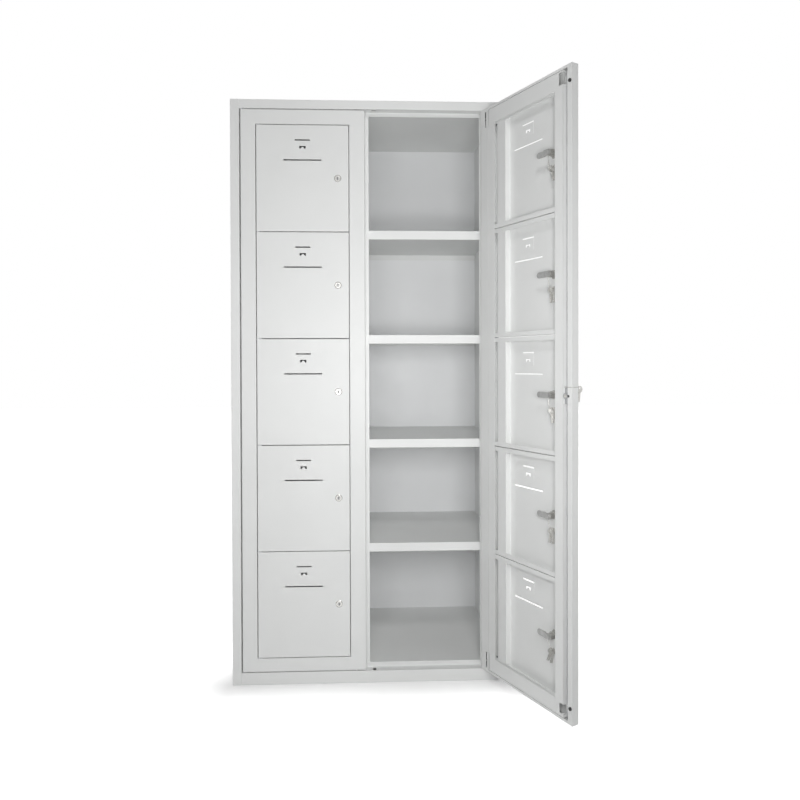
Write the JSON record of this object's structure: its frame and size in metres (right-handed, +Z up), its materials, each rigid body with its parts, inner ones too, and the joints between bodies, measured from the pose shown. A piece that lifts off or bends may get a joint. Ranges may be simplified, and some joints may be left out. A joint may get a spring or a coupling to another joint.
{
  "type": "distribution locker cabinet",
  "caption": "Free-standing steel distribution locker: small lockable doors set in two full-height master doors, which open over open-fronted compartments.",
  "frame": {"origin": "middle of the base on the floor plane, halfway across the width and the depth of the carcass", "axes": "+X to the viewer's right when facing the doors, +Y towards the back, +Z up"},
  "size_m": [0.9892, 0.8238, 1.8],
  "materials": {
    "powder_coat": "light grey powder coat, fine texture, satin",
    "lock_chrome": "nickel plated die-cast lock",
    "zinc_cam": "zinc plated flat bar",
    "zinc_rod": "bright zinc plated steel",
    "lock_steel": "zinc plated steel case",
    "nickel_key": "nickel plated brass key on steel wire",
    "black_rubber": "matt black rubber"
  },
  "bodies": {
    "carcass": {"left_side_panel": "powder_coat", "right_side_panel": "powder_coat", "back_panel": "powder_coat", "top_panel": "powder_coat", "base_panel": "powder_coat", "central_partition": "powder_coat", "left_shelves": "powder_coat", "right_shelves": "powder_coat", "shelf_rivets": "powder_coat", "frame_hinge_pins": "zinc_rod"},
    "left_master_door": {"left_master_frame": "powder_coat", "left_master_channels": "powder_coat", "left_master_buffers": "black_rubber", "left_small_door_pins": "zinc_rod"},
    "right_master_door": {"right_master_frame": "powder_coat", "right_master_channels": "powder_coat", "right_master_buffers": "black_rubber", "right_small_door_pins": "zinc_rod", "right_master_lock_case": "lock_steel", "right_master_keys": "nickel_key"},
    "left_upper_bolt": {"left_master_upper_bolt": "zinc_rod"},
    "left_lower_bolt": {"left_master_lower_bolt": "zinc_rod"},
    "right_lock_plug": {"right_master_lock_plug": "lock_chrome"},
    "right_upper_rod": {"right_master_upper_rod": "zinc_rod"},
    "right_lower_rod": {"right_master_lower_rod": "zinc_rod"},
    "left_small_door_1_body": {"left_small_door_1": "powder_coat", "left_small_door_1_lock": "lock_chrome"},
    "left_small_door_1_cam_body": {"left_small_door_1_cam": "zinc_cam"},
    "left_small_door_2_body": {"left_small_door_2": "powder_coat", "left_small_door_2_lock": "lock_chrome"},
    "left_small_door_2_cam_body": {"left_small_door_2_cam": "zinc_cam"},
    "left_small_door_3_body": {"left_small_door_3": "powder_coat", "left_small_door_3_lock": "lock_chrome"},
    "left_small_door_3_cam_body": {"left_small_door_3_cam": "zinc_cam"},
    "left_small_door_4_body": {"left_small_door_4": "powder_coat", "left_small_door_4_lock": "lock_chrome"},
    "left_small_door_4_cam_body": {"left_small_door_4_cam": "zinc_cam"},
    "left_small_door_5_body": {"left_small_door_5": "powder_coat", "left_small_door_5_lock": "lock_chrome"},
    "left_small_door_5_cam_body": {"left_small_door_5_cam": "zinc_cam"},
    "right_small_door_1_body": {"right_small_door_1": "powder_coat", "right_small_door_1_lock": "lock_chrome", "right_small_door_1_keys": "nickel_key"},
    "right_small_door_1_cam_body": {"right_small_door_1_cam": "zinc_cam"},
    "right_small_door_2_body": {"right_small_door_2": "powder_coat", "right_small_door_2_lock": "lock_chrome", "right_small_door_2_keys": "nickel_key"},
    "right_small_door_2_cam_body": {"right_small_door_2_cam": "zinc_cam"},
    "right_small_door_3_body": {"right_small_door_3": "powder_coat", "right_small_door_3_lock": "lock_chrome", "right_small_door_3_keys": "nickel_key"},
    "right_small_door_3_cam_body": {"right_small_door_3_cam": "zinc_cam"},
    "right_small_door_4_body": {"right_small_door_4": "powder_coat", "right_small_door_4_lock": "lock_chrome", "right_small_door_4_keys": "nickel_key"},
    "right_small_door_4_cam_body": {"right_small_door_4_cam": "zinc_cam"},
    "right_small_door_5_body": {"right_small_door_5": "powder_coat", "right_small_door_5_lock": "lock_chrome", "right_small_door_5_keys": "nickel_key"},
    "right_small_door_5_cam_body": {"right_small_door_5_cam": "zinc_cam"}
  },
  "joints": [
    {"name": "left_master_hinge", "type": "hinge", "parent": "carcass", "child": "left_master_door", "pos_m": [-0.3765, -0.24, 0.906], "axis": [0, 0, -1], "range_deg": [0, 119]},
    {"name": "right_master_hinge", "type": "hinge", "parent": "carcass", "child": "right_master_door", "pos_m": [0.3765, -0.24, 0.906], "axis": [0, 0, 1], "range_deg": [-119, 0]},
    {"name": "left_upper_bolt_slide", "type": "slide", "parent": "left_master_door", "child": "left_upper_bolt", "axis": [0, 0, 1], "range_m": [0, 0.015]},
    {"name": "left_lower_bolt_slide", "type": "slide", "parent": "left_master_door", "child": "left_lower_bolt", "axis": [0, 0, -1], "range_m": [0, 0.015]},
    {"name": "right_lock_turn", "type": "hinge", "parent": "right_master_door", "child": "right_lock_plug", "pos_m": [0.54147, -0.55205, 0.90325], "axis": [-0.8746, -0.4848, 0], "range_deg": [0, 90]},
    {"name": "right_upper_rod_slide", "type": "slide", "parent": "right_master_door", "child": "right_upper_rod", "axis": [0, 0, 1], "range_m": [0, 0.015]},
    {"name": "right_lower_rod_slide", "type": "slide", "parent": "right_master_door", "child": "right_lower_rod", "axis": [0, 0, -1], "range_m": [0, 0.015]},
    {"name": "left_small_door_1_hinge", "type": "hinge", "parent": "left_master_door", "child": "left_small_door_1_body", "pos_m": [-0.328, -0.24, 1.55985], "axis": [0, 0, -1], "range_deg": [0, 110]},
    {"name": "left_small_door_1_cam_turn", "type": "hinge", "parent": "left_small_door_1_body", "child": "left_small_door_1_cam_body", "pos_m": [-0.0843, -0.233, 1.55985], "axis": [0, 1, 0], "range_deg": [0, 180]},
    {"name": "left_small_door_2_hinge", "type": "hinge", "parent": "left_master_door", "child": "left_small_door_2_body", "pos_m": [-0.328, -0.24, 1.23155], "axis": [0, 0, -1], "range_deg": [0, 110]},
    {"name": "left_small_door_2_cam_turn", "type": "hinge", "parent": "left_small_door_2_body", "child": "left_small_door_2_cam_body", "pos_m": [-0.0843, -0.233, 1.23155], "axis": [0, 1, 0], "range_deg": [0, 180]},
    {"name": "left_small_door_3_hinge", "type": "hinge", "parent": "left_master_door", "child": "left_small_door_3_body", "pos_m": [-0.328, -0.24, 0.90325], "axis": [0, 0, -1], "range_deg": [0, 110]},
    {"name": "left_small_door_3_cam_turn", "type": "hinge", "parent": "left_small_door_3_body", "child": "left_small_door_3_cam_body", "pos_m": [-0.0843, -0.233, 0.90325], "axis": [0, 1, 0], "range_deg": [0, 180]},
    {"name": "left_small_door_4_hinge", "type": "hinge", "parent": "left_master_door", "child": "left_small_door_4_body", "pos_m": [-0.328, -0.24, 0.57495], "axis": [0, 0, -1], "range_deg": [0, 110]},
    {"name": "left_small_door_4_cam_turn", "type": "hinge", "parent": "left_small_door_4_body", "child": "left_small_door_4_cam_body", "pos_m": [-0.0843, -0.233, 0.57495], "axis": [0, 1, 0], "range_deg": [0, 180]},
    {"name": "left_small_door_5_hinge", "type": "hinge", "parent": "left_master_door", "child": "left_small_door_5_body", "pos_m": [-0.328, -0.24, 0.24665], "axis": [0, 0, -1], "range_deg": [0, 110]},
    {"name": "left_small_door_5_cam_turn", "type": "hinge", "parent": "left_small_door_5_body", "child": "left_small_door_5_cam_body", "pos_m": [-0.0843, -0.233, 0.24665], "axis": [0, 1, 0], "range_deg": [0, 180]},
    {"name": "right_small_door_1_hinge", "type": "hinge", "parent": "right_master_door", "child": "right_small_door_1_body", "pos_m": [0.40001, -0.28242, 1.55985], "axis": [0, 0, 1], "range_deg": [0, 110]},
    {"name": "right_small_door_1_cam_turn", "type": "hinge", "parent": "right_small_door_1_body", "child": "right_small_door_1_cam_body", "pos_m": [0.51204, -0.49896, 1.55985], "axis": [-0.8746, -0.4848, 0], "range_deg": [0, 180]},
    {"name": "right_small_door_2_hinge", "type": "hinge", "parent": "right_master_door", "child": "right_small_door_2_body", "pos_m": [0.40001, -0.28242, 1.23155], "axis": [0, 0, 1], "range_deg": [0, 110]},
    {"name": "right_small_door_2_cam_turn", "type": "hinge", "parent": "right_small_door_2_body", "child": "right_small_door_2_cam_body", "pos_m": [0.51204, -0.49896, 1.23155], "axis": [-0.8746, -0.4848, 0], "range_deg": [0, 180]},
    {"name": "right_small_door_3_hinge", "type": "hinge", "parent": "right_master_door", "child": "right_small_door_3_body", "pos_m": [0.40001, -0.28242, 0.90325], "axis": [0, 0, 1], "range_deg": [0, 110]},
    {"name": "right_small_door_3_cam_turn", "type": "hinge", "parent": "right_small_door_3_body", "child": "right_small_door_3_cam_body", "pos_m": [0.51204, -0.49896, 0.90325], "axis": [-0.8746, -0.4848, 0], "range_deg": [0, 180]},
    {"name": "right_small_door_4_hinge", "type": "hinge", "parent": "right_master_door", "child": "right_small_door_4_body", "pos_m": [0.40001, -0.28242, 0.57495], "axis": [0, 0, 1], "range_deg": [0, 110]},
    {"name": "right_small_door_4_cam_turn", "type": "hinge", "parent": "right_small_door_4_body", "child": "right_small_door_4_cam_body", "pos_m": [0.51204, -0.49896, 0.57495], "axis": [-0.8746, -0.4848, 0], "range_deg": [0, 180]},
    {"name": "right_small_door_5_hinge", "type": "hinge", "parent": "right_master_door", "child": "right_small_door_5_body", "pos_m": [0.40001, -0.28242, 0.24665], "axis": [0, 0, 1], "range_deg": [0, 110]},
    {"name": "right_small_door_5_cam_turn", "type": "hinge", "parent": "right_small_door_5_body", "child": "right_small_door_5_cam_body", "pos_m": [0.51204, -0.49896, 0.24665], "axis": [-0.8746, -0.4848, 0], "range_deg": [0, 180]}
  ],
  "couplings": [
    {"joint": "right_lock_turn", "follows": "right_upper_rod_slide", "rad_per_m": 104.72},
    {"joint": "right_lower_rod_slide", "follows": "right_upper_rod_slide", "ratio": 1}
  ]
}
